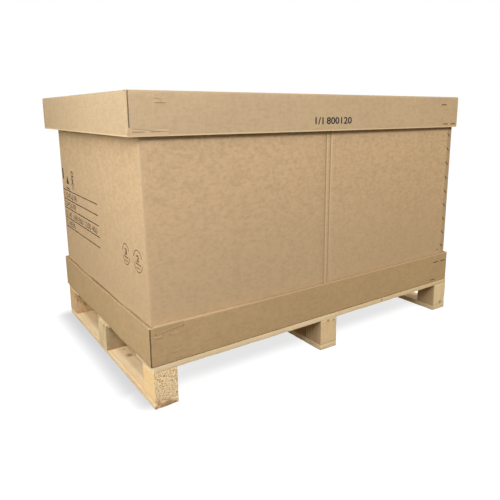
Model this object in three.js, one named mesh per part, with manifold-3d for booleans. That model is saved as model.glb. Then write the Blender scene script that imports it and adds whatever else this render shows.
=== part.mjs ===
// Bulk pallet box: a wooden pallet carries a folded base tray of corrugated board,
// a tall corrugated sleeve stands in the tray, and a folded lid rests on the sleeve.
// Millimetres, +Z up. X runs along the long side, the origin is on the ground under
// the middle of the pallet.

import * as THREE from 'three';
import * as BufferGeometryUtils from 'three/addons/utils/BufferGeometryUtils.js';
import Module from 'manifold-3d';

const wasm = await Module();
wasm.setup();

// Pallet
const palletLength = 1200;
const palletWidth = 800;
const skidBoardWidth = 67;
const skidBoardThickness = 18;
const blockWidth = 67;
const blockDepth = 76;
const blockHeight = 83;
const topBoardWidth = 120;
const topBoardThickness = 17;
const woodChamfer = 1.6;
const middleSkidShift = -5;
const proudBlockReach = 5;

// Sleeve
const sleeveLength = 1180;
const sleeveWidth = 780;
const sleeveHeight = 671;
const sleeveBoard = 7;
const sleeveFoldRadius = 6;
const flapLength = 46;
const flapThickness = 3.5;
const lapGap = 0.5;
const creaseDepth = 1.4;
const creaseWidth = 6;
const creaseSpacing = 18;
const creaseShift = -8;

// Folded base tray and lid
const sheetBoard = 5;
const sheetFoldRadius = 5;
const tabLength = 105;
const tabThickness = 2.5;
const tabEdgeStep = 3;
const slitGap = 0.5;
const trayDepth = 107;
const lidDepth = 105;

// How the boxes fit each other and where they stand
const trayEndClearance = 3;
const traySideClearance = 2.5;
const boxShiftX = -7;
const boxShiftY = -2.5;
const lidGapLeft = 29;
const lidGapRight = 5;
const lidGapFront = 7;
const lidGapBack = 34;

// Wire stitches: a flat wire with a crown outside and clinched feet inside
const wireWidth = 2.2;
const wireThickness = 0.8;
const crownLength = 27;
const footLength = 8;
const crownCorner = 0.7;
const wireGap = 0.3;
const cornerStitchInset = 23;
const cornerStitchPitch = 42;
const foldStitchInset = 80;
const lidUpperRow = 27;
const lidLowerRow = 12;
const trayUpperRow = 29;
const trayLowerRow = 12;
const lapStitchLength = 17;
const lapStitchPitch = 51.6;
const lapStitchEndInset = 27;
const lapStitchMargin = 0.5;
const lapStitchTilt = Math.PI / 4;

const arcSteps = 5;

const palletHeight = skidBoardThickness + blockHeight + topBoardThickness;
const sleeveFloor = palletHeight + sheetBoard;
const sleeveTop = sleeveFloor + sleeveHeight;
const tabStack = sheetBoard + slitGap + tabThickness;
const trayLength = sleeveLength + 2 * (sheetBoard + trayEndClearance);
const trayWidth = sleeveWidth + 2 * (tabStack + traySideClearance);
const lidLength = sleeveLength + lidGapLeft + lidGapRight + 2 * sheetBoard;
const lidWidth = sleeveWidth + lidGapFront + lidGapBack + 2 * sheetBoard;

const paints = {
  pine: new THREE.MeshStandardMaterial({ color: 0xd9bd8a, roughness: 0.8, metalness: 0 }),
  kraft: new THREE.MeshStandardMaterial({ color: 0xb3946a, roughness: 0.85, metalness: 0 }),
  liner: new THREE.MeshStandardMaterial({ color: 0xc09c70, roughness: 0.85, metalness: 0 }),
  wire: new THREE.MeshStandardMaterial({ color: 0x6d675e, roughness: 0.4, metalness: 0.9 }),
};

// Points of an arc round (cx, cy), from one angle to the other, in degrees.
function arc(cx, cy, radius, fromDegrees, toDegrees, steps = arcSteps) {
  const points = [];
  for (let i = 0; i <= steps; i += 1) {
    const angle = THREE.MathUtils.degToRad(fromDegrees + ((toDegrees - fromDegrees) * i) / steps);
    points.push([cx + radius * Math.cos(angle), cy + radius * Math.sin(angle)]);
  }
  return points;
}

function outline(points) {
  return new THREE.Shape(points.map(([u, v]) => new THREE.Vector2(u, v)));
}

// Extrusions: the outline lies across the axis that is named, and runs from low to high.
const crossings = {
  x: (low) => new THREE.Matrix4().set(0, 0, 1, low, 1, 0, 0, 0, 0, 1, 0, 0, 0, 0, 0, 1),
  y: (low, high) => new THREE.Matrix4().set(1, 0, 0, 0, 0, 0, -1, high, 0, 1, 0, 0, 0, 0, 0, 1),
  z: (low) => new THREE.Matrix4().set(1, 0, 0, 0, 0, 1, 0, 0, 0, 0, 1, low, 0, 0, 0, 1),
};

function extrude(axis, points, low, high) {
  const geometry = new THREE.ExtrudeGeometry(outline(points), {
    depth: high - low,
    bevelEnabled: false,
    steps: 1,
  });
  return geometry.applyMatrix4(crossings[axis](low, high));
}

function block(x0, x1, y0, y1, z0, z1) {
  const geometry = new THREE.BoxGeometry(x1 - x0, y1 - y0, z1 - z0);
  return geometry.translate((x0 + x1) / 2, (y0 + y1) / 2, (z0 + z1) / 2);
}

function toSolid(geometry) {
  const bare = geometry.clone();
  bare.deleteAttribute('normal');
  bare.deleteAttribute('uv');
  const merged = BufferGeometryUtils.mergeVertices(bare, 1e-4);
  return new wasm.Manifold(new wasm.Mesh({
    numProp: 3,
    vertProperties: new Float32Array(merged.attributes.position.array),
    triVerts: new Uint32Array(merged.index.array),
  }));
}

function toGeometry(solid) {
  const mesh = solid.getMesh();
  const geometry = new THREE.BufferGeometry();
  geometry.setAttribute('position', new THREE.BufferAttribute(mesh.vertProperties, 3));
  geometry.setIndex(new THREE.BufferAttribute(mesh.triVerts, 1));
  geometry.computeVertexNormals();
  return geometry;
}

function named(name, geometry, paint) {
  const mesh = new THREE.Mesh(geometry, paints[paint]);
  mesh.name = name;
  return mesh;
}

// A sawn piece of timber with its long edges eased, lying along X or Y, or a standing block.
function timber(axis, width, height, low, high) {
  const w = width / 2;
  const c = woodChamfer;
  const section = [
    [-w + c, 0], [w - c, 0], [w, c], [w, height - c],
    [w - c, height], [-w + c, height], [-w, height - c], [-w, c],
  ];
  return extrude(axis, section, low, high);
}

function standingBlock() {
  const w = blockWidth / 2;
  const d = blockDepth / 2;
  const c = woodChamfer;
  const section = [
    [-w + c, -d], [w - c, -d], [w, -d + c], [w, d - c],
    [w - c, d], [-w + c, d], [-w, d - c], [-w, -d + c],
  ];
  return extrude('z', section, 0, blockHeight);
}

const columnNames = ['left', 'middle', 'right'];
const rowNames = ['front', 'middle', 'back'];

function buildPallet() {
  const group = new THREE.Group();
  const skidReach = (palletLength - skidBoardWidth) / 2;
  const blockReachX = (palletLength - blockWidth) / 2;
  const blockReachY = (palletWidth - blockDepth) / 2;
  const boardReach = (palletWidth - topBoardWidth) / 2;

  columnNames.forEach((column, i) => {
    const side = i - 1;
    const shift = side === 0 ? middleSkidShift : 0;
    const skid = named(
      `bottom_board_${column}`,
      timber('y', skidBoardWidth, skidBoardThickness, -palletWidth / 2, palletWidth / 2),
      'pine',
    );
    skid.position.set(side * skidReach + shift, 0, 0);
    group.add(skid);

    rowNames.forEach((row, j) => {
      const line = j - 1;
      const proud = side === -1 && line === 0 ? proudBlockReach : 0;
      const foot = named(`block_${column}_${row}`, standingBlock(), 'pine');
      foot.position.set(side * blockReachX + shift - proud, line * blockReachY, skidBoardThickness);
      group.add(foot);
    });
  });

  rowNames.forEach((row, j) => {
    const board = named(
      `top_board_${row}`,
      timber('x', topBoardWidth, topBoardThickness, -palletLength / 2, palletLength / 2),
      'pine',
    );
    board.position.set(0, (j - 1) * boardReach, skidBoardThickness + blockHeight);
    group.add(board);
  });
  return group;
}

// One wire stitch. Its crown lies along X on a face at y = 0, and its legs run along +Y.
function stitchGeometry(length, stack) {
  const half = length / 2;
  const t = wireThickness;
  const front = -wireGap;
  const back = stack + wireGap;
  const section = [
    [-half + crownCorner, front - t], [half - crownCorner, front - t], [half, front - t + crownCorner],
    [half, back + t], [half - footLength, back + t], [half - footLength, back], [half - t, back],
    [half - t, front], [-half + t, front], [-half + t, back],
    [-half + footLength, back], [-half + footLength, back + t], [-half, back + t],
    [-half, front - t + crownCorner],
  ];
  return extrude('z', section, -wireWidth / 2, wireWidth / 2);
}

// The two holes that a stitch's legs pass through, as solids to take away.
function stitchHoles(length, stack) {
  const reach = length / 2 - wireThickness / 2;
  const w = wireThickness / 2 + wireGap;
  const h = wireWidth / 2 + wireGap;
  return [-reach, reach].map((x) => block(x - w, x + w, -1, stack + 1, -h, h));
}

function punch(solid, places, length, stack) {
  let result = solid;
  for (const place of places) {
    for (const hole of stitchHoles(length, stack)) {
      result = result.subtract(toSolid(hole.applyMatrix4(place.matrix)));
    }
  }
  return result;
}

// Three stitches at each end of both long walls of a folded sheet.
function cornerStitches(prefix, length, width, upperHeight, lowerHeight, doubleRow) {
  const upper = { height: upperHeight, double: doubleRow === 'upper' };
  const lower = { height: lowerHeight, double: doubleRow === 'lower' };
  const places = [];
  for (const wall of ['front', 'back']) {
    for (const end of ['left', 'right']) {
      let count = 0;
      for (const row of [upper, lower]) {
        const insets = row.double ? [cornerStitchInset, cornerStitchInset + cornerStitchPitch] : [foldStitchInset];
        for (const inset of insets) {
          count += 1;
          const x = (end === 'left' ? -1 : 1) * (length / 2 - inset);
          const turn = wall === 'front' ? 0 : Math.PI;
          const matrix = new THREE.Matrix4().makeRotationZ(turn);
          matrix.setPosition(x, (wall === 'front' ? -1 : 1) * (width / 2), row.height);
          places.push({ name: `${prefix}_stitch_${wall}_${end}_${count}`, matrix });
        }
      }
    }
  }
  return places;
}

function addStitches(group, places, length, stack) {
  for (const place of places) {
    const stitch = named(place.name, stitchGeometry(length, stack), 'wire');
    stitch.applyMatrix4(place.matrix);
    group.add(stitch);
  }
}

// A sheet folded into a shallow box. Both long walls run the whole length, and each short
// wall has a tab at either end that is folded behind a long wall. The floor is at the
// bottom when up is 1 (tray) and at the top when up is -1 (lid).
function foldedSheet(length, width, depth, up) {
  const l = length / 2;
  const w = width / 2;
  const t = sheetBoard;
  const r = sheetFoldRadius;
  const flip = (points) => points.map(([u, v]) => [u, up * v]);
  const span = (a, b) => (up > 0 ? [a, b] : [-b, -a]);

  const longSection = flip([
    [-w, depth], ...arc(-w + r, r, r, 180, 270), ...arc(w - r, r, r, 270, 360), [w, depth],
    [w - t, depth], [w - t, t], [-w + t, t], [-w + t, depth],
  ]);
  let sheet = toSolid(extrude('x', longSection, -l, l));

  const tabY = w - t - slitGap;
  for (const end of [-1, 1]) {
    const turn = (points) => points.map(([u, v]) => [end * u, v]);
    const sliver = flip(turn([[l + 1, -1], [l + 1, r], [l, r], ...arc(l - r, r, r, 0, -90), [l - r, -1]]));
    const plan = turn([
      [l, -tabY + r], ...arc(l - r, -tabY + r, r, 0, -90), [l - tabLength, -tabY],
      [l - tabLength, -tabY + tabThickness], [l - t, -tabY + tabThickness],
      [l - t, tabY - tabThickness], [l - tabLength, tabY - tabThickness], [l - tabLength, tabY],
      ...arc(l - r, tabY - r, r, 90, 0),
    ]);
    const wallZ = span(t + slitGap, depth);
    const wall = toSolid(extrude('z', plan, wallZ[0], wallZ[1]));
    const trimZ = span(depth - tabEdgeStep, depth + 1);
    const trimX = [end * (l - tabLength - 1), end * (l - t - 1)].sort((a, b) => a - b);
    const trim = toSolid(block(trimX[0], trimX[1], -tabY - 0.2, tabY + 0.2, trimZ[0], trimZ[1]));
    const footZ = span(0, t + 2 * slitGap);
    const footX = [end * (l - t), end * l].sort((a, b) => a - b);
    const foot = toSolid(block(footX[0], footX[1], -tabY + r, tabY - r, footZ[0], footZ[1]));
    sheet = sheet.add(wall.subtract(trim)).add(foot);
    sheet = sheet.subtract(toSolid(extrude('y', sliver, -tabY, tabY)));
  }
  return sheet;
}

function buildTray() {
  const group = new THREE.Group();
  group.position.set(boxShiftX, boxShiftY, palletHeight);
  const places = cornerStitches(
    'tray', trayLength, trayWidth, trayDepth - trayUpperRow, trayLowerRow, 'upper',
  );
  const sheet = foldedSheet(trayLength, trayWidth, trayDepth, 1);
  group.add(named('base_tray', toGeometry(punch(sheet, places, crownLength, tabStack)), 'kraft'));
  addStitches(group, places, crownLength, tabStack);
  return group;
}

function buildLid() {
  const group = new THREE.Group();
  const shiftX = boxShiftX + (lidGapRight - lidGapLeft) / 2;
  const shiftY = boxShiftY + (lidGapBack - lidGapFront) / 2;
  group.position.set(shiftX, shiftY, sleeveTop + sheetBoard);
  const places = cornerStitches('lid', lidLength, lidWidth, -lidUpperRow, lidLowerRow - lidDepth, 'lower');
  const sheet = foldedSheet(lidLength, lidWidth, lidDepth, -1);
  group.add(named('lid', toGeometry(punch(sheet, places, crownLength, tabStack)), 'kraft'));
  addStitches(group, places, crownLength, tabStack);
  return group;
}

// The sleeve's plan: a strip of board bent round four corners. It starts at its raw end at
// the right front corner and comes back there as a thin flap behind the front panel.
function sleevePlan() {
  const a = sleeveLength / 2;
  const b = sleeveWidth / 2;
  const t = sleeveBoard;
  const r = sleeveFoldRadius;
  const flapFront = -b + t + lapGap;
  const flapBack = flapFront + flapThickness;
  const creases = [creaseShift + creaseSpacing / 2, creaseShift - creaseSpacing / 2];
  const grooves = (side, order) => order.flatMap((x) => {
    const lead = side < 0 ? creaseWidth / 2 : -creaseWidth / 2;
    return [[x + lead, side * b], [x, side * (b - creaseDepth)], [x - lead, side * b]];
  });
  return [
    [a, -b], ...grooves(-1, creases),
    ...arc(-a + r, -b + r, r, 270, 180), ...arc(-a + r, b - r, r, 180, 90),
    ...grooves(1, [...creases].reverse()),
    ...arc(a - r, b - r, r, 90, 0),
    ...arc(a - r, flapFront + r, r, 0, -90),
    [a - flapLength, flapFront], [a - flapLength, flapBack], [a - t, flapBack],
    [a - t, b - t], [-a + t, b - t], [-a + t, -b + t], [a, -b + t],
  ];
}

function buildSleeve() {
  const group = new THREE.Group();
  group.position.set(boxShiftX, boxShiftY, sleeveFloor);
  const stack = sleeveBoard + lapGap + flapThickness;
  const x = sleeveLength / 2 - sleeveBoard - lapStitchMargin - lapStitchLength / 2;
  const count = Math.floor((sleeveHeight - 2 * lapStitchEndInset) / lapStitchPitch) + 1;
  const places = [];
  for (let i = 0; i < count; i += 1) {
    const matrix = new THREE.Matrix4().makeRotationY(lapStitchTilt);
    matrix.setPosition(x, -sleeveWidth / 2, lapStitchEndInset + i * lapStitchPitch);
    places.push({ name: `sleeve_stitch_${i + 1}`, matrix });
  }
  const sheet = toSolid(extrude('z', sleevePlan(), 0, sleeveHeight));
  group.add(named('sleeve', toGeometry(punch(sheet, places, lapStitchLength, stack)), 'liner'));
  addStitches(group, places, lapStitchLength, stack);
  return group;
}

const palletBox = new THREE.Group();
palletBox.add(buildPallet(), buildTray(), buildSleeve(), buildLid());

export default palletBox;
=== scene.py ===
import math

import bmesh
import bpy
from mathutils import Matrix, Vector, noise


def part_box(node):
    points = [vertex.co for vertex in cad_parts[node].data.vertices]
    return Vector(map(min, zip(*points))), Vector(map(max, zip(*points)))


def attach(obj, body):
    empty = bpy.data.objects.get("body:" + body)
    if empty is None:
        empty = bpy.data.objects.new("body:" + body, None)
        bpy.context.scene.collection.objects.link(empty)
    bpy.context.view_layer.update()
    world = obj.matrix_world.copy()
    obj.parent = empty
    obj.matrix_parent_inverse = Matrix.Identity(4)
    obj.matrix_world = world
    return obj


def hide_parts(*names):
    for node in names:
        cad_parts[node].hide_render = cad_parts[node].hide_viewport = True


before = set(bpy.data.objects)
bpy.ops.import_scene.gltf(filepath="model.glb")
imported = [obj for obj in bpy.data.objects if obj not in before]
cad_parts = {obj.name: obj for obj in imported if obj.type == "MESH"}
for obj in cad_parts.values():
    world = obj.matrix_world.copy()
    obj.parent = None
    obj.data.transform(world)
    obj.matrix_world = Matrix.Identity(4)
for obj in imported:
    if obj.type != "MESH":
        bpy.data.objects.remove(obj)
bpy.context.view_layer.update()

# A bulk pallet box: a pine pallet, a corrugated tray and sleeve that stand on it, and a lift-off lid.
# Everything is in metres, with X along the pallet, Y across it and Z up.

BASE_BODY = "pallet_and_sleeve"
LID_BODY = "lid"
MM = 0.001

tray_low, tray_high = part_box("base_tray")
sleeve_low, sleeve_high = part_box("sleeve")
lid_low, lid_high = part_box("lid")

SHEET_BOARD = 5 * MM
CREASE_MIDDLE = (sleeve_low.x + sleeve_high.x) / 2 - 8 * MM


# Shader maths

class Wire:
    """One output of a shader node. Arithmetic on it adds Math nodes to its shader."""

    def __init__(self, shader, socket):
        self.shader = shader
        self.socket = socket

    def math(self, operation, *values):
        sockets = dict(enumerate(values))
        return self.shader.node("ShaderNodeMath", {"operation": operation}, sockets)[0]

    def __add__(self, other):
        return self.math("ADD", self, other)

    def __sub__(self, other):
        return self.math("SUBTRACT", self, other)

    def __rsub__(self, other):
        return self.math("SUBTRACT", other, self)

    def __mul__(self, other):
        return self.math("MULTIPLY", self, other)

    def __truediv__(self, other):
        return self.math("DIVIDE", self, other)

    def __abs__(self):
        return self.math("ABSOLUTE", self)

    __radd__ = __add__
    __rmul__ = __mul__

    def sine(self):
        return self.math("SINE", self)

    def fraction(self):
        return self.math("FRACT", self)

    def root(self):
        return self.math("SQRT", self)

    def larger(self, other):
        return self.math("MAXIMUM", self, other)

    def rise(self, start, end):
        """0 at start and 1 at end, with a soft step between them."""
        sockets = {"Value": self, "From Min": start, "From Max": end}
        return self.shader.node("ShaderNodeMapRange", {"interpolation_type": "SMOOTHSTEP"}, sockets)[0]

    def band(self, middle, reach, softness):
        """1 within reach of middle, and 0 further off than reach and softness."""
        return 1 - abs(self - middle).rise(reach, reach + softness)

    def between(self, low, high, softness):
        """1 from low to high, and 0 further out than softness."""
        return self.band((low + high) / 2, (high - low) / 2, softness)


class NodeOutputs:
    """The outputs of one shader node, by name or number."""

    def __init__(self, shader, node):
        self.shader = shader
        self.outputs = node.outputs

    def __getitem__(self, key):
        return Wire(self.shader, self.outputs[key])


class Shader:
    """The node tree of a new material, or of a world that is handed in."""

    MIX_COLOUR_INPUTS = (6, 7)
    MIX_COLOUR_OUTPUT = 2

    def __init__(self, name, holder=None):
        self.holder = holder or bpy.data.materials.new(name)
        self.holder.use_nodes = True
        self.tree = self.holder.node_tree
        self.tree.nodes.clear()

    def node(self, kind, settings, sockets):
        """Adds a node: its settings first, then the values or wires of its sockets."""
        made = self.tree.nodes.new(kind)
        for name, value in settings.items():
            setattr(made, name, value)
        for key, value in sockets.items():
            if isinstance(value, Wire):
                self.tree.links.new(value.socket, made.inputs[key])
            else:
                made.inputs[key].default_value = value
        return NodeOutputs(self, made)

    def mix(self, share, first, second, blend="MIX"):
        """The first colour, going over to the second by share."""
        one, two = self.MIX_COLOUR_INPUTS
        settings = {"data_type": "RGBA", "blend_type": blend}
        mixer = self.node("ShaderNodeMix", settings, {0: share, one: first, two: second})
        return mixer[self.MIX_COLOUR_OUTPUT]

    def place(self):
        """Where the shaded point is at rest, as a vector and as three numbers, in metres."""
        vector = self.node("ShaderNodeTexCoord", {}, {})["Object"]
        parts = self.node("ShaderNodeSeparateXYZ", {}, {0: vector})
        return vector, parts[0], parts[1], parts[2]

    def outward(self):
        """The direction that the surface faces, as three numbers from -1 to 1."""
        normal = self.node("ShaderNodeNewGeometry", {}, {})["True Normal"]
        return self.node("ShaderNodeSeparateXYZ", {}, {0: normal})

    def facing(self):
        """How far the surface faces along X, Y and Z, each from 0 to 1."""
        parts = self.outward()
        return abs(parts[0]), abs(parts[1]), abs(parts[2])

    def facing_left(self):
        """1 where the surface faces against X, towards the left end of the pallet."""
        return self.outward()[0].rise(-0.5, -0.8)

    def join(self, x, y, z):
        return self.node("ShaderNodeCombineXYZ", {}, {0: x, 1: y, 2: z})[0]

    def grains(self, vector, scale, detail=3.0, roughness=0.55):
        """Soft noise from 0 to 1 about 0.5, with scale grains in a metre of the vector."""
        sockets = {"Vector": vector, "Scale": scale, "Detail": detail, "Roughness": roughness}
        return self.node("ShaderNodeTexNoise", {"noise_dimensions": "3D"}, sockets)[0]

    def bump(self, height, depth):
        """A Normal from a height in 0 to 1, where 1 stands depth metres proud."""
        sockets = {"Height": height, "Distance": depth, "Strength": 1.0}
        return self.node("ShaderNodeBump", {}, sockets)[0]

    def finish(self, sockets):
        """Ends the tree in one Principled surface."""
        surface = self.node("ShaderNodeBsdfPrincipled", {}, sockets)[0]
        self.node("ShaderNodeOutputMaterial", {"target": "ALL"}, {"Surface": surface})
        return self.holder


def paint(red, green, blue):
    """A colour given as screen values from 0 to 255, as a shader wants it."""
    def linear(value):
        share = value / 255
        return share / 12.92 if share <= 0.04045 else ((share + 0.055) / 1.055) ** 2.4
    return (linear(red), linear(green), linear(blue), 1.0)


def shade(colour, factor):
    return (colour[0] * factor, colour[1] * factor, colour[2] * factor, 1.0)


# Finishes
# Noise scales are in grains to a metre, and the two numbers of a rise are where its mask starts and ends.

PAINTED_RIM_HIGHLIGHT = paint(219, 191, 155)
RIM_SOFTNESS = 1.4 * MM
CREASE_SOFTNESS = 1.2 * MM
RING_WIDTH = 4.6 * MM


def corrugated_board(
    name, liner, flute_pitch, flutes_upright, rims, fold_painted_shade, mottling,
    patches=(), creases=(), foot_painted_shade=None,
):
    """Kraft liner over flutes: mottle, fibre flecks, a painted rim highlight, painted shade in cut flutes
    and on folds.

    A tone is a factor on the liner's colour, and a share says how strongly it shows.
    A rim is its height and how far it reaches up and down from there.
    A patch is the low and high corners of a box, its softness, its tone and its share.
    A crease is a line of painted shade or painted highlight:
    its place along X, its lean with height, its half width, its tone and its share.
    The painted shade at the foot is the heights between which it fades out, and its tone.
    """
    s = Shader(name)
    place, x, y, z = s.place()
    facing_x, facing_y, facing_z = s.facing()

    if flutes_upright:
        across = x * facing_y + y * facing_x
    else:
        across = x * (1 - facing_x) + z * facing_x
    flutes = (across * (2 * math.pi / flute_pitch)).sine()
    flute_wave = flutes * 0.5 + 0.5

    clouds = s.grains(place, 3.1, 2.0)
    mottle = s.grains(s.join(x * 0.7, y * 0.7, z * 1.15), 95.0, 3.0)
    coarse = s.grains(s.join(x * 0.8, y * 0.8, z), 38.0, 3.0, 0.65)
    streaks = s.grains(s.join(x * 150.0, y * 150.0, z * 12.0), 1.0, 2.0)
    fibres = s.grains(s.join(x, y, z * 0.35), 620.0, 2.0)
    flecks = s.grains(place, 330.0, 1.0).rise(0.68, 0.78)

    colour = s.mix(clouds.rise(0.30, 0.70), shade(liner, 0.95), shade(liner, 1.05))
    colour = s.mix(mottle.rise(0.30, 0.70) * mottling, colour, shade(liner, 1.13))
    colour = s.mix((1 - mottle).rise(0.45, 0.72) * mottling, colour, shade(liner, 0.80))
    colour = s.mix((1 - coarse).rise(0.42, 0.68) * mottling * 0.75, colour, shade(liner, 0.82))
    colour = s.mix(streaks.rise(0.50, 0.75) * facing_y * 0.35, colour, shade(liner, 0.88))
    colour = s.mix(fibres.rise(0.35, 0.70) * mottling * 0.45, colour, shade(liner, 1.25))
    colour = s.mix(flecks * mottling * 0.6, colour, shade(liner, 0.62))
    colour = s.mix(flute_wave * (0.04 + clouds * facing_y * 0.12), colour, shade(liner, 0.80))

    # Painted shade on the rounded folds between faces.
    on_fold = (facing_x * facing_y + facing_x * facing_z + facing_y * facing_z) * 2
    colour = s.mix(on_fold.rise(0.15, 0.9), colour, shade(liner, fold_painted_shade))

    on_wall = 1 - facing_z.rise(0.4, 0.8)
    for height, reach in rims:
        near_rim = z.band(height, reach, RIM_SOFTNESS) * on_wall
        # Painted highlight: a pale band on the walls along the rim.
        colour = s.mix(near_rim * 0.85, colour, PAINTED_RIM_HIGHLIGHT)
        # Painted shade in the cut edge: its face is darker, most where the flutes open.
        rim_face = z.band(height, 0.6 * MM, 0.4 * MM) * facing_z.rise(0.8, 0.95)
        openings = flutes.rise(-0.4, 0.5)
        colour = s.mix(rim_face * (0.40 + openings * 0.35), colour, shade(liner, 0.50))

    for low, high, softness, tone, share in patches:
        ragged_x = x + (mottle - 0.5) * softness * 2.5
        ragged_z = z + (mottle - 0.5) * softness
        inside = ragged_x.between(low[0], high[0], softness)
        inside = inside * y.between(low[1], high[1], softness)
        inside = inside * ragged_z.between(low[2], high[2], softness)
        colour = s.mix(inside * share, colour, shade(liner, tone))

    # Painted shade and painted highlight along the creases.
    on_long_side = facing_y.rise(0.2, 0.6)
    for line, lean, half, tone, share in creases:
        on_line = (x - z * lean).band(line, half, CREASE_SOFTNESS) * on_long_side
        colour = s.mix(on_line * share, colour, shade(liner, tone))

    # Painted shade: the board darkens towards its foot.
    if foot_painted_shade is not None:
        bottom, top, tone = foot_painted_shade
        colour = s.mix((1 - z.rise(bottom, top)) * 0.5, colour, shade(liner, tone))

    height = flute_wave * 0.25 + mottle * 0.45 + fibres * 0.30
    return s.finish({
        "Base Color": colour,
        "Roughness": 0.70 + mottle * 0.18,
        "Normal": s.bump(height, 0.18 * MM),
        "Specular IOR Level": 0.32,
    })


def pine(
    name, grain, heart, tone=1.0, knots=(), stain=0.25, redness=0.0, saw_marks=0.0, grey=0.0, figure=1.0,
    long_side_painted_shade=1.0, left_face_painted_shade=1.0,
):
    """Sawn pine. grain is the axis along the fibres, heart the middle of the growth rings across it.

    A tone is a factor on the wood's colour. Painted shade darkens the faces along the pallet's long sides
    and the faces towards its left end, each by its own factor. The figure is how clearly rings and fibres
    show.
    """
    s = Shader(name)
    place, x, y, z = s.place()
    along, side, other = {"x": (x, y, z), "y": (y, x, z), "z": (z, x, y)}[grain]

    wander = s.grains(s.join(along * 1.1, side * 5.0, other * 5.0), 1.0, 2.0) - 0.5
    off_side = side - heart[0] + wander * 0.012
    off_other = other - heart[1] + wander * 0.010
    radius = (off_side * off_side + off_other * off_other).root()
    ring = (radius / RING_WIDTH).fraction()
    late_wood = ring.rise(0.35, 0.86) * (1 - ring.rise(0.90, 1.0))

    fibres = s.grains(s.join(along * 9.0, side * 330.0, other * 330.0), 1.0, 3.0)
    speckle = s.grains(s.join(along * 60.0, side * 900.0, other * 900.0), 1.0, 2.0)
    clouds = s.grains(s.join(along * 2.5, side * 14.0, other * 14.0), 1.0, 2.0)
    weather = s.grains(place, 24.0, 3.0)
    grime = s.grains(place, 130.0, 4.0)

    pale = shade(paint(238, 219, 184), tone)
    warm = shade(paint(224, 198, 156), tone)
    dark = shade(paint(198, 164, 118), tone)
    brown = shade(paint(142, 106, 66), tone)
    red = shade(paint(222, 172, 134), tone)
    weathered = shade(paint(150, 132, 108), tone)
    knot_brown = shade(paint(92, 60, 34), tone)

    colour = s.mix(clouds.rise(0.30, 0.70) * 0.65, pale, warm)
    if redness > 0:
        colour = s.mix(weather.rise(0.42, 0.66) * redness, colour, red)
    colour = s.mix(late_wood * 0.42 * figure, colour, dark)
    colour = s.mix(fibres.rise(0.48, 0.78) * 0.40 * figure, colour, dark)
    colour = s.mix(speckle.rise(0.58, 0.80) * 0.38 * figure, colour, brown)
    colour = s.mix(grime.rise(0.60, 0.80) * stain, colour, brown)
    if grey > 0:
        colour = s.mix(weather.rise(0.35, 0.60) * grey, colour, weathered)
    facing_y = s.facing()[1].rise(0.5, 0.8)
    if saw_marks > 0:
        pits = s.grains(place, 300.0, 2.0, 0.7)
        rows = s.grains(s.join((x + z) * 90.0, y * 60.0, (z - x) * 420.0), 1.0, 2.0)
        torn = pits * rows
        colour = s.mix(torn.rise(0.22, 0.34) * facing_y * saw_marks, colour, brown)
        colour = s.mix(torn.rise(0.24, 0.12) * facing_y * saw_marks * 0.5, colour, pale)

    # Painted shade on the faces along the long sides and on the faces towards the left end.
    if long_side_painted_shade != 1:
        colour = s.mix(facing_y, colour, shade((1.0, 0.94, 0.84), long_side_painted_shade), "MULTIPLY")
    if left_face_painted_shade != 1:
        colour = s.mix(s.facing_left(), colour, shade((1.0, 0.92, 0.80), left_face_painted_shade), "MULTIPLY")

    for spot, size in knots:
        reach = s.node("ShaderNodeVectorMath", {"operation": "DISTANCE"}, {0: place, 1: spot})["Value"]
        ragged = reach + (grime - 0.5) * (size * 0.5)
        colour = s.mix((1 - ragged.rise(size * 0.6, size * 1.5)) * 0.70, colour, knot_brown)
        colour = s.mix((1 - ragged.rise(size * 1.2, size * 2.6)) * 0.35, colour, dark)

    height = (fibres * 0.45 + late_wood * 0.25 + speckle * 0.30) * figure
    return s.finish({
        "Base Color": colour,
        "Roughness": 0.68 + fibres * 0.22,
        "Normal": s.bump(height, 0.7 * MM),
        "Specular IOR Level": 0.30,
    })


def drawn_wire(name, bright, dull, metal):
    """Stitching wire, with drawing lines and a little tarnish, or with paper dust over it."""
    s = Shader(name)
    place, x, y, z = s.place()
    tarnish = s.grains(place, 260.0, 3.0)
    lines = s.grains(s.join(x * 120.0, y * 900.0, z * 900.0), 1.0, 2.0)
    return s.finish({
        "Base Color": s.mix(tarnish.rise(0.35, 0.70), bright, dull),
        "Metallic": tarnish.rise(0.70, 0.45) * metal,
        "Roughness": 0.42 + lines * 0.3,
        "Normal": s.bump(lines, 0.08 * MM),
    })


def printing_ink(name, colour, wear):
    """Flexographic ink: slightly starved where the liner's fibres show through."""
    s = Shader(name)
    place, x, y, z = s.place()
    starved = s.grains(place, 420.0, 3.0)
    patchy = s.grains(place, 60.0, 2.0)
    faded = s.mix(starved.rise(0.48, 0.72) * wear, colour, paint(168, 136, 100))
    faded = s.mix(patchy.rise(0.45, 0.75) * wear * 0.6, faded, paint(150, 120, 90))
    return s.finish({
        "Base Color": faded,
        "Roughness": 0.62 + starved * 0.2,
        "Normal": s.bump(starved, 0.05 * MM),
    })


# The middle and half length along X, the low and high end along Y, and the falloff of each oblong of
# painted shadow
FLOOR_SHADOWS = (
    (-0.03, 0.57, -0.27, 0.37, 0.090),
    (-0.59, 0.005, -0.355, 0.37, 0.075),
)
FLOOR_WHITE = (0.95, 0.95, 0.955, 1.0)
FLOOR_SHADE_AT_END = (0.50, 0.51, 0.54, 1.0)
FLOOR_SHADE_UNDER = (0.765, 0.765, 0.77, 1.0)


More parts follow.
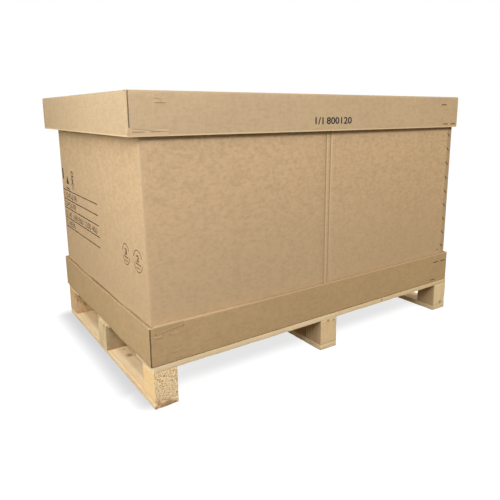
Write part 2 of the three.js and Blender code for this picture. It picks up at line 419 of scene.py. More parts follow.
def studio_floor(name):
    """A pale, glowing floor, also softly lit, with a painted, slightly cool contact shadow. From below it
    is clear.
    """
    s = Shader(name)
    place, x, y, z = s.place()
    # Painted contact shadow: the glow is dimmed within reach of each oblong.
    shadow = 0.0
    for middle_x, half_x, low_y, high_y, falloff in FLOOR_SHADOWS:
        past_end = (abs(x - middle_x) - half_x).larger(0.0)
        past_side = (low_y - y).larger(y - high_y).larger(0.0)
        reach = (past_end * past_end + past_side * past_side).root()
        shadow = (1 - reach.rise(0.0, falloff)).larger(shadow)
    shade_colour = s.mix(x.rise(-0.60, -0.47), FLOOR_SHADE_AT_END, FLOOR_SHADE_UNDER)
    backfacing = s.node("ShaderNodeNewGeometry", {}, {})["Backfacing"]
    lit = s.node("ShaderNodeBsdfPrincipled", {}, {
        "Base Color": (0.15, 0.15, 0.15, 1.0),
        "Roughness": 0.9,
        "Specular IOR Level": 0.0,
        "Emission Color": s.mix(shadow, FLOOR_WHITE, shade_colour),
        "Emission Strength": 1.0,
    })[0]
    clear = s.node("ShaderNodeBsdfTransparent", {}, {})[0]
    seen = s.node("ShaderNodeMixShader", {}, {0: backfacing, 1: lit, 2: clear})[0]
    s.node("ShaderNodeOutputMaterial", {"target": "ALL"}, {"Surface": seen})
    return s.holder


def studio_backdrop(name):
    """Plain white behind and above the floor."""
    s = Shader(name)
    glow = s.node("ShaderNodeEmission", {}, {"Color": (1.0, 1.0, 1.0, 1.0), "Strength": 1.0})[0]
    s.node("ShaderNodeOutputMaterial", {"target": "ALL"}, {"Surface": glow})
    return s.holder


# Mesh work

def cut_along(bm, axis, start, end, count):
    """Cuts the whole mesh by evenly spaced planes across an axis, so that it can bend there."""
    normal = Vector((0, 0, 0))
    normal[axis] = 1
    for i in range(1, count):
        middle = Vector((0, 0, 0))
        middle[axis] = start + (end - start) * i / count
        everything = bm.verts[:] + bm.edges[:] + bm.faces[:]
        bmesh.ops.bisect_plane(bm, geom=everything, dist=1e-6, plane_co=middle, plane_no=normal)


def add_piece(name, bm, material, body, sharp_angle=28):
    """Turns a finished bmesh into a piece that rides on a body."""
    mesh = bpy.data.meshes.new(name)
    bm.normal_update()
    bm.to_mesh(mesh)
    bm.free()
    for face in mesh.polygons:
        face.use_smooth = True
    mesh.set_sharp_from_angle(angle=math.radians(sharp_angle))
    mesh.materials.append(material)
    piece = bpy.data.objects.new(name, mesh)
    bpy.context.scene.collection.objects.link(piece)
    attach(piece, body)
    return piece


def copy_of_node(node):
    """The CAD node's solid as a bmesh with its corners joined."""
    bm = bmesh.new()
    bm.from_mesh(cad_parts[node].data)
    bmesh.ops.remove_doubles(bm, verts=bm.verts[:], dist=1e-6)
    flat = math.radians(0.5)
    bmesh.ops.dissolve_limit(bm, angle_limit=flat, verts=bm.verts[:], edges=bm.edges[:])
    return bm


def hump(value, start, end):
    """0 at both ends and 1 half way."""
    share = (value - start) / (end - start)
    return math.sin(math.pi * min(1.0, max(0.0, share)))


def ramp(value, start, end):
    return min(1.0, max(0.0, (value - start) / (end - start)))


def wobble(point, size, seed):
    """A smooth random number from -1 to 1 that changes over about size metres."""
    return noise.noise(point / size + Vector((seed, seed * 1.7, -seed)))


# How each board has bowed

TRAY_END_BULGE = 3.5 * MM
TRAY_SAG = 4.5 * MM
TRAY_LIP = 5 * MM
TRAY_CORNER_LIFT = 2 * MM
TRAY_LIFT_FADES = (-0.56, -0.20)
TRAY_SIDE_BULGE = 2 * MM
LID_TOP_SAG = 5 * MM
LID_SIDE_BULGE = 1.5 * MM
SLEEVE_BULGE = 3 * MM
SLEEVE_FOLD_LEAN = 6 * MM
SLEEVE_LEAN_ENDS = (-0.30, 0.10)
WALL_DEPTH = 12 * MM
BOARD_EDGE = 4 * MM
SPAN_BETWEEN_BOARDS = (
    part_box("top_board_middle")[1].y + BOARD_EDGE,
    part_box("top_board_back")[0].y - BOARD_EDGE,
)
PALLET_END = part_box("top_board_front")[1].x
PALLET_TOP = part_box("top_board_front")[1].z


def tray_bow(p):
    """The tray's walls lean out, and its ends droop past the pallet and between its top boards."""
    rise = ramp(p.z, tray_low.z + SHEET_BOARD, tray_high.z)
    end_share = hump(p.y, tray_low.y, tray_high.y) ** 1.5 * rise
    side_share = hump(p.x, tray_low.x, tray_high.x) ** 1.5 * rise
    move = Vector((0, 0, 0))
    if p.x < tray_low.x + WALL_DEPTH:
        move.x -= TRAY_END_BULGE * end_share
    if p.x > tray_high.x - WALL_DEPTH:
        move.x += TRAY_END_BULGE * 0.5 * end_share
    if p.y < tray_low.y + WALL_DEPTH:
        move.y -= TRAY_SIDE_BULGE * side_share
    if p.y > tray_high.y - WALL_DEPTH:
        move.y += TRAY_SIDE_BULGE * side_share
    if abs(p.x) > PALLET_END + 0.3 * MM:
        off_corner = ramp(min(p.y - tray_low.y, tray_high.y - p.y), 2 * MM, 30 * MM)
        move.z -= TRAY_LIP * off_corner * (1 - ramp(p.z, tray_low.z, tray_low.z + 15 * MM))
    gap = hump(abs(p.y), SPAN_BETWEEN_BOARDS[0], SPAN_BETWEEN_BOARDS[1])
    at_end = 1 - ramp(min(p.x - tray_low.x, tray_high.x - p.x), 0.0, 60 * MM)
    move.z -= TRAY_SAG * gap * at_end
    if p.y < tray_low.y + WALL_DEPTH:
        near_corner = ramp(p.x, tray_low.x, tray_low.x + 25 * MM) * (1 - ramp(p.x, *TRAY_LIFT_FADES))
        move.z += TRAY_CORNER_LIFT * near_corner * rise
    return move


def lid_bow(p):
    """The lid's top sags between its folds, and its walls lean out a little towards their rims."""
    drop = 1 - ramp(p.z, lid_low.z, lid_high.z - SHEET_BOARD)
    along = hump(p.x, lid_low.x, lid_high.x)
    across = hump(p.y, lid_low.y, lid_high.y)
    move = Vector((0, 0, 0))
    if p.z > lid_high.z - SHEET_BOARD * 1.5:
        move.z -= LID_TOP_SAG * (along * across) ** 0.7 * (1 + 0.4 * wobble(p, 0.3, 3.0)) / 1.4
    if p.y < lid_low.y + WALL_DEPTH:
        move.y -= LID_SIDE_BULGE * along * drop
    if p.y > lid_high.y - WALL_DEPTH:
        move.y += LID_SIDE_BULGE * along * drop
    if p.x < lid_low.x + WALL_DEPTH:
        move.x -= LID_SIDE_BULGE * across * drop
    return move


def sleeve_bow(p):
    """Each panel of the sleeve is slightly crowned between its folds."""
    upright = hump(p.z, tray_high.z - 10 * MM, lid_low.z + 10 * MM)
    move = Vector((0, 0, 0))
    if p.x < CREASE_MIDDLE:
        along = hump(p.x, sleeve_low.x + 15 * MM, CREASE_MIDDLE - 20 * MM)
    else:
        along = hump(p.x, CREASE_MIDDLE + 20 * MM, sleeve_high.x - 40 * MM)
    across = hump(p.y, sleeve_low.y + 15 * MM, sleeve_high.y - 15 * MM)
    if p.y < sleeve_low.y + WALL_DEPTH:
        move.y -= SLEEVE_BULGE * along * upright
    if p.y > sleeve_high.y - WALL_DEPTH:
        move.y += SLEEVE_BULGE * along * upright
    if p.x < sleeve_low.x + WALL_DEPTH:
        move.x -= SLEEVE_BULGE * 0.8 * across * upright
    if p.x > sleeve_high.x - WALL_DEPTH:
        move.x += SLEEVE_BULGE * 0.8 * across * upright
    near_end = 1 - ramp(p.x, sleeve_low.x, SLEEVE_LEAN_ENDS[0])
    near_front = 1 - ramp(p.y, sleeve_low.y, SLEEVE_LEAN_ENDS[1])
    move.x -= SLEEVE_FOLD_LEAN * near_end * near_front * ramp(p.z, tray_high.z, lid_low.z)
    return move


def dressed_board(name, node, counts, bow, material, body):
    """Stands for a folded board: the same solid, cut finely and bowed."""
    bm = copy_of_node(node)
    low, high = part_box(node)
    for axis, count in enumerate(counts):
        cut_along(bm, axis, low[axis], high[axis], count)
    for vert in bm.verts:
        vert.co += bow(vert.co.copy())
    bmesh.ops.triangulate(bm, faces=bm.faces[:])
    piece = add_piece(name, bm, material, body)
    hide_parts(node)


# Sawn timber

TIMBER_STEP = 11 * MM
TIMBER_ROUND = 0.9 * MM
DENT_DEPTH = 1.7 * MM
DENT_SIZE = 18 * MM
WANDER_SIZE = 50 * MM


def sawn_timber(node, material, seed, bow=0.0, ragged=1.0):
    """Stands for a board or block: slightly wandering faces, soft arrises, and dents along them."""
    low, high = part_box(node)
    size = high - low
    middle = (low + high) / 2
    bm = bmesh.new()
    bmesh.ops.create_cube(bm, size=1.0)
    for vert in bm.verts:
        vert.co = Vector([vert.co[i] * size[i] for i in range(3)]) + middle
    bmesh.ops.bevel(bm, geom=bm.edges[:], offset=TIMBER_ROUND, segments=2, profile=0.6, affect="EDGES")
    for axis in range(3):
        cut_along(bm, axis, low[axis], high[axis], max(2, round(size[axis] / TIMBER_STEP)))
    long_axis = max(range(3), key=lambda i: size[i])
    for vert in bm.verts:
        p = vert.co.copy()
        to_face = [min(p[i] - low[i], high[i] - p[i]) for i in range(3)]
        on_arris = 1 - ramp(sorted(to_face)[1], 1.5 * MM, 6 * MM)
        dent = max(0.0, wobble(p, DENT_SIZE, seed) - 0.12) * on_arris
        towards_middle = Vector([
            math.copysign(1.0, middle[i] - p[i]) * (1 - ramp(to_face[i], 0.0, 8 * MM)) for i in range(3)
        ])
        p += towards_middle * dent * DENT_DEPTH * ragged
        for i in range(3):
            if to_face[i] < 2 * MM:
                inward = math.copysign(1.0, middle[i] - p[i])
                p[i] += inward * (0.25 + 0.25 * wobble(p, WANDER_SIZE, seed + i)) * MM * ragged
        p.z += bow * hump(p[long_axis], low[long_axis], high[long_axis])
        vert.co = p
    bmesh.ops.triangulate(bm, faces=bm.faces[:])
    piece = add_piece(f"{node}_timber", bm, material, BASE_BODY, sharp_angle=18)
    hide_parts(node)


def knot_in(node, share_x, share_y, share_z, size):
    """A knot at a place given as shares of the node's box."""
    low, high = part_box(node)
    spot = (
        low.x + (high.x - low.x) * share_x,
        low.y + (high.y - low.y) * share_y,
        low.z + (high.z - low.z) * share_z,
    )
    return spot, size


# Knots and stains on the left bottom board: the place and the size of each
BOTTOM_LEFT_MARKS = [
    ((-557.8 * MM, -104.6 * MM, 18 * MM), 8 * MM),
    ((-558.5 * MM, -57.4 * MM, 18 * MM), 3 * MM),
    ((-588.6 * MM, -400 * MM, 14 * MM), 5 * MM),
    ((-579.5 * MM, -400 * MM, 5 * MM), 6 * MM),
    ((-596.0 * MM, -400 * MM, 4 * MM), 4 * MM),
    ((-562.0 * MM, -400 * MM, 6 * MM), 11 * MM),
    ((-545.0 * MM, -400 * MM, 3 * MM), 5 * MM),
]

# How each block is cut, has aged and takes painted shade on some faces, from the left end of the pallet
# to the right
BLOCK_LOOKS = {
    "left_front": {
        "grain": "y", "heart": (-0.690, 0.180), "tone": 1.22, "stain": 0.40, "saw_marks": 0.85,
        "left_face_painted_shade": 0.96,
    },
    "left_middle": {
        "grain": "z", "heart": (0.060, 0.130), "tone": 1.04, "stain": 0.40, "redness": 0.10, "grey": 0.30,
        "long_side_painted_shade": 0.62,
    },
    "left_back": {
        "grain": "y", "heart": (-0.480, 0.130), "tone": 1.08, "stain": 0.40, "redness": 0.80,
        "saw_marks": 0.45, "long_side_painted_shade": 0.78, "left_face_painted_shade": 0.80,
    },
    "middle_front": {
        "grain": "z", "heart": (0.090, -0.300), "tone": 1.07, "stain": 0.22, "redness": 0.25,
        "saw_marks": 0.20, "left_face_painted_shade": 0.66,
    },
    "middle_middle": {
        "grain": "x", "heart": (0.050, 0.020), "tone": 0.92, "stain": 0.30, "grey": 0.2,
        "left_face_painted_shade": 0.45,
    },
    "middle_back": {
        "grain": "y", "heart": (0.030, 0.150), "tone": 0.95, "stain": 0.35, "redness": 0.2,
        "saw_marks": 0.2,
    },
    "right_front": {
        "grain": "z", "heart": (0.480, -0.310), "tone": 1.08, "stain": 0.25, "saw_marks": 0.15,
        "left_face_painted_shade": 0.68,
    },
    "right_middle": {
        "grain": "x", "heart": (0.070, 0.120), "tone": 0.96, "stain": 0.30, "redness": 0.2, "grey": 0.2,
        "left_face_painted_shade": 0.40,
    },
    "right_back": {
        "grain": "y", "heart": (0.500, -0.020), "tone": 0.98, "stain": 0.40, "saw_marks": 0.3,
    },
}
# The knots of each block: their places as shares of the block's box, and their sizes
BLOCK_KNOTS = {
    "left_middle": [(0.0, 0.20, 0.95, 5 * MM)],
    "left_back": [(0.53, 0.0, 0.40, 8 * MM), (0.12, 0.0, 0.60, 4 * MM)],
    "middle_front": [(0.45, 0.0, 0.93, 4 * MM), (0.80, 0.0, 0.90, 3 * MM)],
    "right_front": [(0.60, 0.0, 0.10, 5 * MM)],
    "right_middle": [(1.0, 0.40, 0.60, 5 * MM)],
    "middle_back": [(0.30, 1.0, 0.55, 6 * MM)],
}
BOTTOM_BOARD_LOOKS = {
    "left": {"heart": (-0.570, -0.060), "tone": 1.10, "redness": 0.25, "knots": BOTTOM_LEFT_MARKS},
    "middle": {"heart": (-0.060, 0.090), "redness": 0.10},
    "right": {"heart": (0.600, -0.070), "redness": 0.10},
}
# The middle of the rings, how far the board's middle has sunk, and its knots
TOP_BOARD_LOOKS = {
    "front": ((-0.360, 0.030), 0.6 * MM, [(0.70, 0.0, 0.5, 3 * MM)]),
    "middle": ((0.090, 0.050), 0.0, []),
    "back": ((0.340, 0.190), 0.4 * MM, [(0.30, 1.0, 0.5, 4 * MM)]),
}


def build_blocks():
    for number, (place, look) in enumerate(BLOCK_LOOKS.items()):
        node = f"block_{place}"
        knots = [knot_in(node, *knot) for knot in BLOCK_KNOTS.get(place, [])]
        ragged = 2.0 if place == "left_front" else 1.2
        sawn_timber(node, pine(f"pine_{node}", knots=knots, **look), 11.0 + number * 3.7, ragged=ragged)


def build_bottom_boards():
    for number, (place, look) in enumerate(BOTTOM_BOARD_LOOKS.items()):
        node = f"bottom_board_{place}"
        sawn_timber(node, pine(f"pine_{node}", "y", stain=0.22, **look), 51.0 + number * 4.1)


def build_top_boards():
    for number, (place, (heart, sag, marks)) in enumerate(TOP_BOARD_LOOKS.items()):
        node = f"top_board_{place}"
        knots = [knot_in(node, *mark) for mark in marks]
        material = pine(f"pine_{node}", "x", heart, knots=knots, stain=0.34, redness=0.15, figure=0.3)
        sawn_timber(node, material, 71.0 + number * 5.3, bow=-sag)


NAIL_STEPS = ((-18 * MM, -20 * MM), (17 * MM, 2 * MM), (-12 * MM, 22 * MM))


def build_nail_heads():
    """Round heads set flush into the boards, in a staggered group over each block."""
    steel = drawn_wire("nail_steel", paint(128, 122, 116), paint(84, 72, 62), 0.8)
    radius = 4.5 * MM
    depth = 1.2 * MM
    proud = 0.25 * MM
    for level, height, outward in (("bottom", 0.0, -1), ("top", PALLET_TOP, 1)):
        bm = bmesh.new()
        for place in BLOCK_LOOKS:
            low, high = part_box(f"block_{place}")
            centre = (low + high) / 2
            for step_x, step_y in NAIL_STEPS:
                spot = (centre.x + step_x, centre.y + step_y, height + outward * (proud - depth / 2))
                bmesh.ops.create_cone(
                    bm, cap_ends=True, segments=14, radius1=radius, radius2=radius * 0.94, depth=depth,
                    matrix=Matrix.Translation(spot),
                )
        add_piece(f"nail_heads_{level}", bm, steel, BASE_BODY)


# Print and pressed marks, laid on a board's face

class Face:
    """A flat outer face of a board. u runs to the right as seen from outside, v is the height."""

    def __init__(self, origin, right, outward, bow):
        self.origin = Vector(origin)
        self.right = Vector(right)
        self.outward = Vector(outward)
        self.bow = bow

    def point(self, u, v, stand_off):
        flat = self.origin + self.right * u + Vector((0, 0, v))
        return flat + self.bow(flat) + self.outward * stand_off


left_of_sleeve = Face((sleeve_low.x, 0, 0), (0, -1, 0), (-1, 0, 0), sleeve_bow)
front_of_lid = Face((0, lid_low.y, 0), (1, 0, 0), (0, -1, 0), lid_bow)
front_of_tray = Face((0, tray_low.y, 0), (1, 0, 0), (0, -1, 0), tray_bow)

INK_THICKNESS = 0.25 * MM
INK_SUNK = 0.4 * MM


def lay_strip(bm, face, points, width, crest=INK_THICKNESS):
    """A flat band of the given width along (u, v) points, as a thin closed solid."""
    last = len(points) - 1
    rings = []
    for i, (u, v) in enumerate(points):
        before = points[max(i - 1, 0)]
        after = points[min(i + 1, last)]
        run = Vector((after[0] - before[0], after[1] - before[1])).normalized()
        side = Vector((-run.y, run.x)) * width / 2
        corners = []
        for way, stand_off in ((1, -INK_SUNK), (1, crest), (-1, crest), (-1, -INK_SUNK)):
            corners.append(bm.verts.new(face.point(u + side.x * way, v + side.y * way, stand_off)))
        rings.append(corners)
    for one, two in zip(rings, rings[1:]):
        for j in range(4):
            bm.faces.new((one[j], one[(j + 1) % 4], two[(j + 1) % 4], two[j]))
    bm.faces.new(rings[0][::-1])
    bm.faces.new(rings[-1])


def straight(start, end, steps):
    """Points from start to end, close enough together to follow a bowed face."""
    return [
        (start[0] + (end[0] - start[0]) * i / steps, start[1] + (end[1] - start[1]) * i / steps)
        for i in range(steps + 1)
    ]


def arc(middle, radius_u, radius_v, start, end, steps):
    """Points on part of an ellipse, with its angles in degrees."""
    points = []
    for i in range(steps + 1):
        angle = math.radians(start + (end - start) * i / steps)
        points.append((middle[0] + radius_u * math.cos(angle), middle[1] + radius_v * math.sin(angle)))
    return points


def lay_numbers(bm, face, digits, left, bottom, height, width, boldness=0.0):
    """Plain numbers in the given box, as thin closed solids."""
    curve = bpy.data.curves.new("number_outline", "FONT")
    curve.body = digits
    curve.offset = boldness
    curve.resolution_u = 3
    holder = bpy.data.objects.new("number_outline", curve)
    bpy.context.scene.collection.objects.link(holder)
    bpy.context.view_layer.update()
    mesh = bpy.data.meshes.new_from_object(holder.evaluated_get(bpy.context.evaluated_depsgraph_get()))
    flat = bmesh.new()
    flat.from_mesh(mesh)
    bpy.data.objects.remove(holder)
    bpy.data.curves.remove(curve)
    bpy.data.meshes.remove(mesh)
    bmesh.ops.remove_doubles(flat, verts=flat.verts[:], dist=1e-4)
    low_u = min(vert.co.x for vert in flat.verts)
    high_u = max(vert.co.x for vert in flat.verts)
    low_v = min(vert.co.y for vert in flat.verts)
    high_v = max(vert.co.y for vert in flat.verts)
    outer = {}
    inner = {}
    for vert in flat.verts:
        u = left + (vert.co.x - low_u) / (high_u - low_u) * width
        v = bottom + (vert.co.y - low_v) / (high_v - low_v) * height
        outer[vert.index] = bm.verts.new(face.point(u, v, INK_THICKNESS))
        inner[vert.index] = bm.verts.new(face.point(u, v, -INK_SUNK))
    for shape in flat.faces:
        marks = [vert.index for vert in shape.verts]
        bm.faces.new([outer[i] for i in marks])
        bm.faces.new([inner[i] for i in reversed(marks)])
    for edge in flat.edges:
        if len(edge.link_faces) == 1:
            loop = edge.link_loops[0]
            one = loop.vert.index
            two = loop.link_loop_next.vert.index
            bm.faces.new((outer[two], outer[one], inner[one], inner[two]))
    flat.free()


def print_piece(name, bm, material, body):
    bmesh.ops.recalc_face_normals(bm, faces=bm.faces[:])
    add_piece(name, bm, material, body)


RULE_HEIGHTS = [481.7 * MM, 448.0 * MM, 416.0 * MM, 380.5 * MM, 347.5 * MM]
RULE_LEFT = -372 * MM
RULE_RIGHT = 27 * MM
RULE_WIDTH = 3 * MM
ROW_DIGIT_HEIGHT = 19 * MM
ROW_ABOVE_RULE = 6 * MM

# The numbers that stand on each rule: the left and right end of each, in millimetres, and its digits
ROWS = [
    (RULE_HEIGHTS[1], [(-368, -205, "12345678")]),
    (RULE_HEIGHTS[2], [(-368, -225, "2345678")]),
    (RULE_HEIGHTS[3], [(-368, -340, "12"), (-325, -285, "345"), (-262, 8, "600 800 1200 400")]),
    (RULE_HEIGHTS[4], [(-368, -345, "12"), (-330, -250, "40500")]),
]


def build_rows(dark_ink, row_ink):
    """Ruled lines with rows of plain numbers between them."""
    bm = bmesh.new()
    for height in RULE_HEIGHTS:
        lay_strip(bm, left_of_sleeve, straight((RULE_LEFT, height), (RULE_RIGHT, height), 24), RULE_WIDTH)
    print_piece("ruled_lines", bm, dark_ink, BASE_BODY)

    bm = bmesh.new()
    for rule, numbers in ROWS:
        foot = rule + ROW_ABOVE_RULE
        for left, right, digits in numbers:
            width = (right - left) * MM
            lay_numbers(bm, left_of_sleeve, digits, left * MM, foot, ROW_DIGIT_HEIGHT, width)
    print_piece("row_numbers", bm, row_ink, BASE_BODY)


BAR_PLACE = -362.5 * MM
BAR_BOTTOM = 519 * MM
BAR_TOP = 556 * MM
BAR_WIDTH = 14 * MM
ARROW_PLACE = -306 * MM
TALL_PLACE = -241 * MM


def build_upright_bar(blue_ink):
    bm = bmesh.new()
    lay_strip(bm, left_of_sleeve, straight((BAR_PLACE, BAR_BOTTOM), (BAR_PLACE, BAR_TOP), 2), BAR_WIDTH)
    print_piece("upright_bar", bm, blue_ink, BASE_BODY)


def build_plain_marks(dark_ink):
    """An arrowhead over a short line, and a tall mark made of a ring, a cross and a stem."""
    face = left_of_sleeve
    bm = bmesh.new()
    for half, height in ((4 * MM, 527 * MM), (9 * MM, 518 * MM), (14 * MM, 510 * MM)):
        step = straight((ARROW_PLACE - half, height), (ARROW_PLACE + half, height), 2)
        lay_strip(bm, face, step, 8.4 * MM)
    line = straight((ARROW_PLACE - 22 * MM, 493 * MM), (ARROW_PLACE + 18 * MM, 488 * MM), 3)
    lay_strip(bm, face, line, 5 * MM)

    lay_strip(bm, face, arc((TALL_PLACE, 545 * MM), 13 * MM, 9 * MM, 0, 345, 20), 4.5 * MM)
    for way in (-12 * MM, 12 * MM):
        stroke = straight((TALL_PLACE - way, 531 * MM), (TALL_PLACE + way, 508 * MM), 3)
        lay_strip(bm, face, stroke, 5 * MM)
    lay_strip(bm, face, straight((TALL_PLACE, 506 * MM), (TALL_PLACE, 492 * MM), 2), 6 * MM)
    print_piece("plain_marks", bm, dark_ink, BASE_BODY)


STAMP_HEIGHT = 381 * MM
STAMP_RADIUS = 29 * MM
THIN_LINE = 2.4 * MM
THICK_LINE = 3.4 * MM


def build_oval_stamps(stamp_ink):
    """Two ovals in two arcs each, with a plain number over two short lines inside."""
    face = left_of_sleeve
    bm = bmesh.new()
    for middle, number, radius in ((250 * MM, "3", 24 * MM), (334 * MM, "2", 29 * MM)):
        for start, end in ((20, 165), (195, 345)):
            part = arc((middle, STAMP_HEIGHT), radius, STAMP_RADIUS, start, end, 18)
            lay_strip(bm, face, part, THIN_LINE)
        lay_numbers(bm, face, number, middle - 9 * MM, 379 * MM, 18 * MM, 17 * MM, boldness=0.03)
        bar = straight((middle - radius * 0.6, 374 * MM), (middle + radius * 0.6, 372 * MM), 3)
        lay_strip(bm, face, bar, THICK_LINE)
        foot = straight((middle - radius * 0.4, 363 * MM), (middle + radius * 0.4, 362 * MM), 3)
        lay_strip(bm, face, foot, THIN_LINE)
    print_piece("oval_stamps", bm, stamp_ink, BASE_BODY)


def build_sleeve_print():
    dark_ink = printing_ink("dark_ink", paint(46, 29, 32), 0.12)
    row_ink = printing_ink("row_ink", paint(82, 58, 62), 0.38)
    stamp_ink = printing_ink("stamp_ink", paint(100, 76, 56), 0.45)
    blue_ink = printing_ink("blue_ink", paint(48, 46, 84), 0.2)
    build_rows(dark_ink, row_ink)
    build_upright_bar(blue_ink)
    build_plain_marks(dark_ink)
    build_oval_stamps(stamp_ink)


LID_DIGITS_BOTTOM = 713.5 * MM
LID_DIGITS_HEIGHT = 20.5 * MM


def build_lid_print():
    slate_ink = printing_ink("slate_ink", paint(40, 34, 46), 0.08)
    bm = bmesh.new()
    for digits, left, width in (("1/1", -80 * MM, 31 * MM), ("800120", -37 * MM, 101 * MM)):
        lay_numbers(
            bm, front_of_lid, digits, left, LID_DIGITS_BOTTOM, LID_DIGITS_HEIGHT, width, boldness=0.02)
    print_piece("lid_numbers", bm, slate_ink, LID_BODY)


PRESSED_WIDTH = 2.6 * MM
PRESSED_HEIGHT = 0.7 * MM


def in_millimetres(*points):
    return [(u * MM, v * MM) for u, v in points]


def build_pressed_marks(tray_board, lid_board):
    """Low ridges where the tabs and wires behind the front walls show through near the left corner."""
    tray_lines = [
        straight((-592 * MM, 204 * MM), (-512 * MM, 213 * MM), 6),
        straight((-549 * MM, 145 * MM), (-528 * MM, 149 * MM), 3)
        + in_millimetres((-519, 145), (-515, 139)),
    ]
    lid_lines = [
        in_millimetres((-568, 781), (-562, 783), (-553, 781), (-548, 777)),
        straight((-618 * MM, 713 * MM), (-532 * MM, 706 * MM), 6),
    ]
    sets = (
        ("tray_pressed_marks", front_of_tray, tray_lines, tray_board, BASE_BODY),
        ("lid_pressed_marks", front_of_lid, lid_lines, lid_board, LID_BODY),
    )
    for name, face, lines, board, body in sets:
        bm = bmesh.new()
        for line in lines:
            lay_strip(bm, face, line, PRESSED_WIDTH, crest=PRESSED_HEIGHT)
        bmesh.ops.recalc_face_normals(bm, faces=bm.faces[:])
        add_piece(name, bm, board, body)


# The model

LID_KRAFT = paint(192, 168, 136)
TRAY_KRAFT = paint(185, 157, 119)
SLEEVE_KRAFT = paint(197, 169, 135)
SHEET_FLUTE_PITCH = 8.2 * MM
SLEEVE_FLUTE_PITCH = 7.4 * MM


def patch(corner, low, high, softness, tone, share):
    """A place on a board with wear, a mark, painted shade or painted light, in millimetres from one of
    the board's corners.
    """
    ends = [[corner[i] + offset[i] * MM for i in range(3)] for offset in (low, high)]
    return (*ends, softness * MM, tone, share)


# The folded corner's cut edge, dark raw board with painted shade in its open flutes,
# a paler strip along the foot and a darker line above that
LID_PATCHES = [
    patch(lid_low, (1.5, -2.5, 22), (3.5, 1, 103), 1.1, 0.22, 0.85),
    patch(lid_low, (5, -7.5, 0), (97, 1, 19), 1.5, 1.16, 0.60),
    patch(lid_low, (9, -7.5, 17), (97, 1, 20), 1.0, 0.80, 0.50),
]
# The folded corner's cut edge, dark raw board with painted shade in its open flutes,
# the tab behind the rim with its two ends, and painted light along the fold at the foot
TRAY_PATCHES = [
    patch(tray_low, (-5, -0.5, 1), (1.5, 6, 104), 0.9, 0.20, 0.90),
    patch(tray_low, (11, -7, 88.5), (92, 1.5, 105.5), 1.2, 0.86, 0.60),
    patch(tray_low, (13, -7, 84.5), (17, 1.5, 88.5), 1.0, 0.50, 0.55),
    patch(tray_low, (90, -7, 93.5), (94, 1.5, 97), 1.0, 0.50, 0.55),
    # Painted light along the fold at the foot.
    patch(tray_low, (5, -7, -1), (1205, 5.5, 4.5), 1.0, 1.7, 0.65),
]
# A darker band down the right front corner, over the lap, and a scuff low on it
LAP_CORNER = (sleeve_high.x, sleeve_low.y, sleeve_low.z)
SLEEVE_PATCHES = [
    patch(LAP_CORNER, (-19, -7.5, 77), (7, 12.5, 577), 4.0, 0.68, 0.72),
    patch(LAP_CORNER, (-43, -7.5, 113), (-31, 1.5, 118.5), 0.8, 0.22, 0.85),
]
# Each crease is a painted line of shade with a painted highlight to its right; the second one leans with
# height
FIRST_CREASE = CREASE_MIDDLE - 10 * MM
SECOND_CREASE = CREASE_MIDDLE + 1.5 * MM
SECOND_LEAN = 0.009
SLEEVE_CREASES = [
    (FIRST_CREASE, 0.0, 1.0 * MM, 0.58, 0.75),
    (FIRST_CREASE + 4.5 * MM, 0.0, 1.2 * MM, 1.22, 0.70),
    (SECOND_CREASE, SECOND_LEAN, 1.1 * MM, 0.60, 0.75),
    (SECOND_CREASE + 4.8 * MM, SECOND_LEAN, 1.4 * MM, 1.28, 0.75),
]

lid_board = corrugated_board(
    "lid_board", LID_KRAFT, SHEET_FLUTE_PITCH, flutes_upright=False, rims=[(lid_low.z, 3 * MM)],
    fold_painted_shade=0.86, mottling=0.42, patches=LID_PATCHES,
)
tray_board = corrugated_board(
    "tray_board", TRAY_KRAFT, SHEET_FLUTE_PITCH, flutes_upright=False, rims=[(tray_high.z, 2 * MM)],
    fold_painted_shade=0.95, mottling=0.42, patches=TRAY_PATCHES,
)
sleeve_board = corrugated_board(
    "sleeve_board_finish", SLEEVE_KRAFT, SLEEVE_FLUTE_PITCH, flutes_upright=True,
    rims=[(sleeve_low.z, 2 * MM), (sleeve_high.z, 2 * MM)],
    fold_painted_shade=0.80, mottling=0.75, patches=SLEEVE_PATCHES, creases=SLEEVE_CREASES,
    foot_painted_shade=(tray_high.z, lid_low.z, 0.90),
)

build_blocks()
build_bottom_boards()
build_top_boards()
build_nail_heads()
dressed_board("folded_tray", "base_tray", (48, 32, 6), tray_bow, tray_board, BASE_BODY)
dressed_board("folded_sleeve", "sleeve", (60, 36, 24), sleeve_bow, sleeve_board, BASE_BODY)
dressed_board("folded_lid", "lid", (48, 32, 6), lid_bow, lid_board, LID_BODY)

stitch_wire = drawn_wire("stitch_wire_finish", paint(110, 92, 74), paint(74, 56, 42), 0.6)
covered_wire = drawn_wire("covered_wire_finish", paint(196, 168, 134), paint(172, 142, 108), 0.0)
for node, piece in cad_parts.items():
    if "_stitch_" in node:
        piece.data.materials.clear()
        piece.data.materials.append(covered_wire if "front_left" in node else stitch_wire)

build_sleeve_print()
build_lid_print()
build_pressed_marks(tray_board, lid_board)


# Stage, light and camera

def build_stage():
    """The floor and the white behind it. They show, and the lights alone light the object."""
    floor_reach = 60.0
    dome_radius = 45.0
    bm = bmesh.new()
    corners = [(-1, -1), (1, -1), (1, 1), (-1, 1)]
    bm.faces.new([bm.verts.new((x * floor_reach, y * floor_reach, -0.4 * MM)) for x, y in corners])
    dome = bmesh.new()
    bmesh.ops.create_uvsphere(dome, u_segments=32, v_segments=16, radius=dome_radius)
    for name, shape, finish in (
        ("studio_floor", bm, studio_floor("studio_floor_finish")),
        ("studio_backdrop", dome, studio_backdrop("studio_backdrop_finish")),
    ):
        mesh = bpy.data.meshes.new(name)
        shape.to_mesh(mesh)
        shape.free()
        mesh.materials.append(finish)
        stand = bpy.data.objects.new(name, mesh)
        bpy.context.scene.collection.objects.link(stand)
        stand.visible_diffuse = False
        stand.visible_glossy = False
        stand.visible_shadow = False


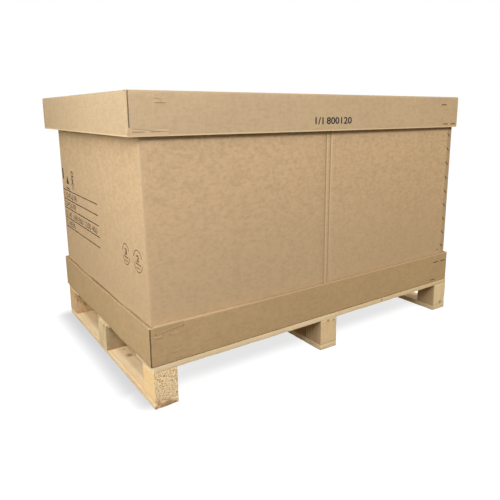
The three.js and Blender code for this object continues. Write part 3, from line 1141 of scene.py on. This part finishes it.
def add_light(name, kind, place, aim, energy, colour, **sizes):
    light = bpy.data.lights.new(name, kind)
    light.energy = energy
    light.color = colour
    for key, value in sizes.items():
        setattr(light, key, value)
    holder = bpy.data.objects.new(name, light)
    bpy.context.scene.collection.objects.link(holder)
    holder.location = place
    holder.rotation_euler = (Vector(aim) - Vector(place)).to_track_quat("-Z", "Y").to_euler()


SKY = (0.50, 0.468, 0.395, 1.0)
GROUND = (0.12, 0.090, 0.045, 1.0)

# Place, aim, power, colour and side of each softbox
SOFTBOXES = {
    "left_softbox": ((-2.1, -0.60, 1.20), (-0.6, -0.25, 0.5), 27.5, (1.0, 1.0, 0.92), 1.2),
    "front_softbox": ((-1.6, -2.3, 2.3), (-0.3, -0.4, 0.5), 42.0, (0.97, 1.0, 1.12), 0.9),
    "right_softbox": ((1.7, -2.5, 2.5), (0.2, -0.4, 0.5), 40.0, (1.10, 1.0, 0.74), 0.9),
    "back_softbox": ((2.3, 1.7, 1.5), (0.3, 0.1, 0.45), 20.0, (1.0, 0.98, 0.92), 1.2),
}
OVERHEAD_POWER = 0.25
OVERHEAD_SPREAD = 40


def build_light():
    """A soft sky over a dim ground, a softbox off each side, and a broad light from above."""
    world = bpy.data.worlds.new("studio_surround")
    s = Shader("studio_surround", world)
    direction = s.node("ShaderNodeTexCoord", {}, {})["Generated"]
    height = s.node("ShaderNodeSeparateXYZ", {}, {0: direction})[2]
    colour = s.mix(height.rise(-0.08, 0.08), GROUND, SKY)
    glow = s.node("ShaderNodeBackground", {}, {"Color": colour, "Strength": 1.0})[0]
    s.node("ShaderNodeOutputWorld", {"target": "ALL"}, {"Surface": glow})
    bpy.context.scene.world = world
    for name, (place, aim, power, colour, side) in SOFTBOXES.items():
        add_light(name, "AREA", place, aim, power, colour, shape="RECTANGLE", size=side, size_y=side)
    add_light("overhead", "SUN", (-0.5, -1.6, 5.0), (0.0, 0.0, 0.0), OVERHEAD_POWER, (1.0, 1.0, 1.0),
              angle=math.radians(OVERHEAD_SPREAD))
    bpy.context.scene.view_settings.view_transform = "Standard"
    bpy.context.scene.view_settings.look = "None"


def build_camera():
    """The camera of the photograph, solved from the pallet's and the boards' edges."""
    place = Vector((-1.0388, -1.5163, 0.7485))
    yaw, pitch, roll = 0.6163, -0.2012, -0.0034
    focal_pixels, middle_column, middle_row, image_side = 502.97, 266.62, 214.75, 500.0
    sensor_width = 36.0
    forward = Vector((math.sin(yaw) * math.cos(pitch), math.cos(yaw) * math.cos(pitch), math.sin(pitch)))
    level_right = Vector((math.cos(yaw), -math.sin(yaw), 0.0))
    level_up = level_right.cross(forward)
    right = math.cos(roll) * level_right + math.sin(roll) * level_up
    up = -math.sin(roll) * level_right + math.cos(roll) * level_up
    lens = bpy.data.cameras.new("photo_camera")
    lens.sensor_width = sensor_width
    lens.lens = focal_pixels / image_side * sensor_width
    lens.shift_x = (image_side / 2 - middle_column) / image_side
    lens.shift_y = (middle_row - image_side / 2) / image_side
    lens.clip_start = 0.05
    lens.clip_end = 200.0
    camera = bpy.data.objects.new("photo_camera", lens)
    bpy.context.scene.collection.objects.link(camera)
    turn = Matrix((right, up, -forward)).transposed()
    camera.matrix_world = Matrix.Translation(place) @ turn.to_4x4()
    bpy.context.scene.camera = camera


build_stage()
build_light()
build_camera()
